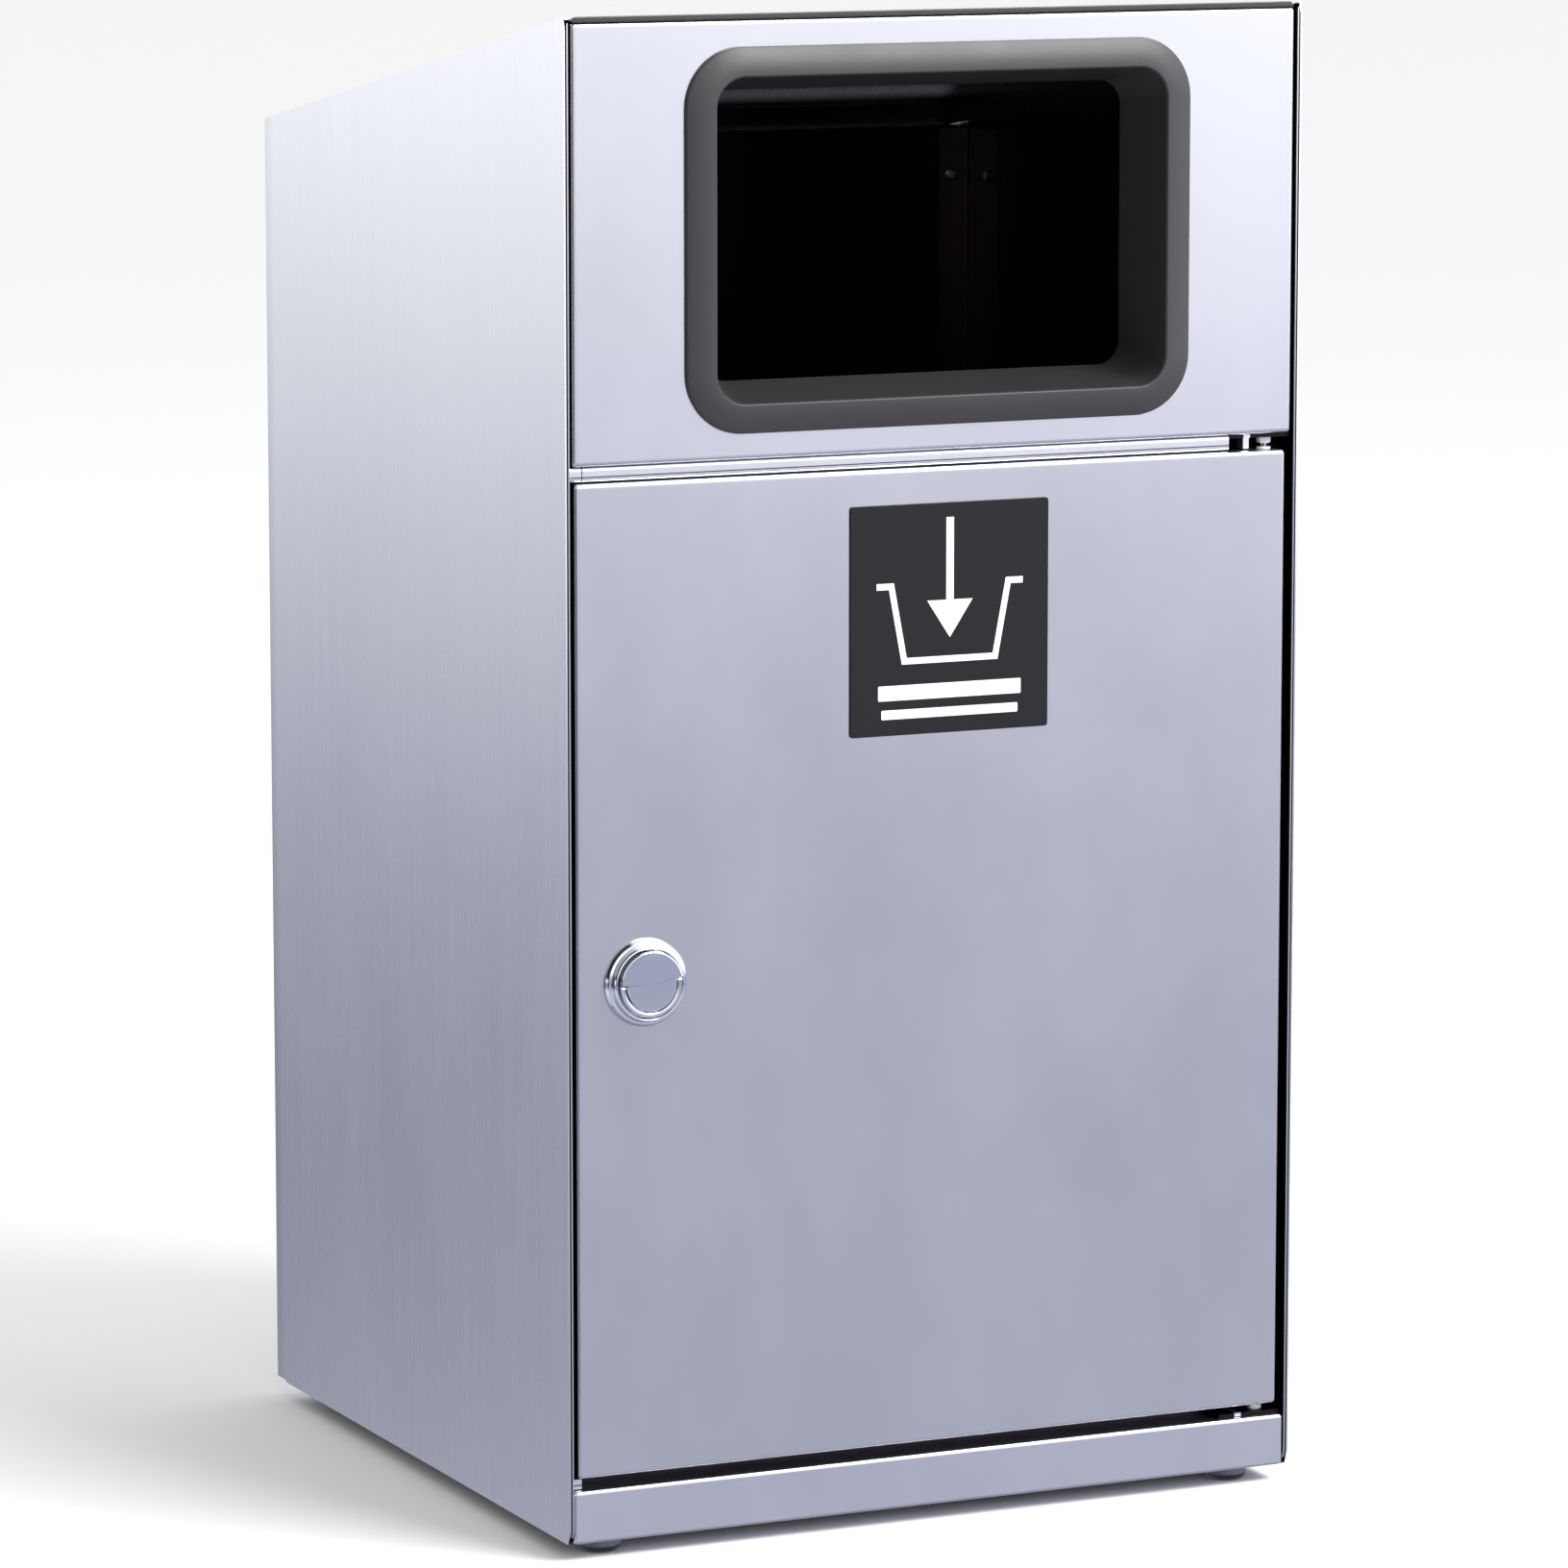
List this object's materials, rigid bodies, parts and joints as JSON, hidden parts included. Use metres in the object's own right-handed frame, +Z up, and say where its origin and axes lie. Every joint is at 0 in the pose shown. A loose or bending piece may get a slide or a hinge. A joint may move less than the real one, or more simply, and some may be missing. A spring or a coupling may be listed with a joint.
{
  "type": "waste sorting litter cabinet",
  "caption": "Tall stainless litter cabinet with sloping roof, framed drop window, hinged door with turn latch and ring pull, levelling feet and a lift-out inner bin.",
  "frame": {"origin": "on the floor, under the middle of the whole object's box", "axes": "+X to the viewer's right when facing the door, +Y from the door to the rear panel, +Z up"},
  "size_m": [0.45, 0.461, 0.85],
  "materials": {
    "satin_steel": "satin hairline",
    "bright_steel": "smooth bright",
    "plain_steel": "mill",
    "chrome": "polished",
    "dark_plastic": "fine matt texture",
    "black_trim": "semi gloss",
    "label_film": "matt film with a pale pictogram",
    "rubber": "moulded",
    "grey_plastic": "moulded",
    "nylon": "moulded"
  },
  "bodies": {
    "cabinet": {"side_panel_left": "satin_steel", "side_panel_right": "satin_steel", "roof_panel": "satin_steel", "rear_panel": "satin_steel", "upper_front_panel": "bright_steel", "cross_rail": "bright_steel", "bottom_rail": "bright_steel", "window_clamp_frame": "plain_steel", "front_post_left": "plain_steel", "front_post_right": "plain_steel", "base_panel": "plain_steel", "rear_corner_angle_left": "plain_steel", "rear_corner_angle_right": "plain_steel", "corner_screw_rear_left": "plain_steel", "corner_screw_side_left": "plain_steel", "corner_screw_rear_right": "plain_steel", "corner_screw_side_right": "plain_steel", "window_screw_1": "plain_steel", "window_screw_2": "plain_steel", "window_screw_3": "plain_steel", "window_screw_4": "plain_steel", "hinge_bracket_upper": "plain_steel", "hinge_bracket_lower": "plain_steel", "strike_plate": "plain_steel", "foot_nut_front_left": "plain_steel", "foot_nut_front_right": "plain_steel", "foot_nut_rear_left": "plain_steel", "foot_nut_rear_right": "plain_steel", "hinge_nut_upper": "chrome", "hinge_nut_lower": "chrome", "hinge_pin_upper": "chrome", "hinge_pin_lower": "chrome", "window_frame": "dark_plastic", "roof_front_trim": "black_trim", "door_stop_pad_upper": "rubber", "door_stop_pad_lower": "rubber", "inner_bin": "grey_plastic"},
    "door": {"door_panel": "bright_steel", "door_inner_panel": "plain_steel", "label_plate": "label_film", "latch_rosette": "chrome", "latch_ring_nut": "plain_steel", "hinge_bush_upper": "nylon", "hinge_bush_lower": "nylon"},
    "latch": {"latch_knob": "chrome", "latch_cam": "plain_steel", "latch_cam_screw": "plain_steel"},
    "ring_pull": {"ring_pull": "chrome"},
    "foot_front_left": {"levelling_foot_front_left": "rubber"},
    "foot_front_right": {"levelling_foot_front_right": "rubber"},
    "foot_rear_left": {"levelling_foot_rear_left": "rubber"},
    "foot_rear_right": {"levelling_foot_rear_right": "rubber"}
  },
  "joints": [
    {"name": "door_hinge", "type": "hinge", "parent": "cabinet", "child": "door", "pos_m": [0.2083, -0.2095, 0], "axis": [0, 0, 1], "range_deg": [0, 100]},
    {"name": "latch_turn", "type": "hinge", "parent": "door", "child": "latch", "pos_m": [-0.1786, -0.2195, 0.3225], "axis": [0, -1, 0], "range_deg": [0, 90]},
    {"name": "ring_pull_fold", "type": "hinge", "parent": "latch", "child": "ring_pull", "pos_m": [-0.1786, -0.2271, 0.3225], "axis": [-0.9962, 0, -0.0872], "range_deg": [0, 90]},
    {"name": "foot_screw_front_left", "type": "hinge", "parent": "cabinet", "child": "foot_front_left", "pos_m": [-0.197, -0.1955, 0], "axis": [0, 0, 1], "continuous": true},
    {"name": "foot_screw_front_right", "type": "hinge", "parent": "cabinet", "child": "foot_front_right", "pos_m": [0.197, -0.1955, 0], "axis": [0, 0, 1], "continuous": true},
    {"name": "foot_screw_rear_left", "type": "hinge", "parent": "cabinet", "child": "foot_rear_left", "pos_m": [-0.18, 0.1705, 0], "axis": [0, 0, 1], "continuous": true},
    {"name": "foot_screw_rear_right", "type": "hinge", "parent": "cabinet", "child": "foot_rear_right", "pos_m": [0.18, 0.1705, 0], "axis": [0, 0, 1], "continuous": true}
  ]
}
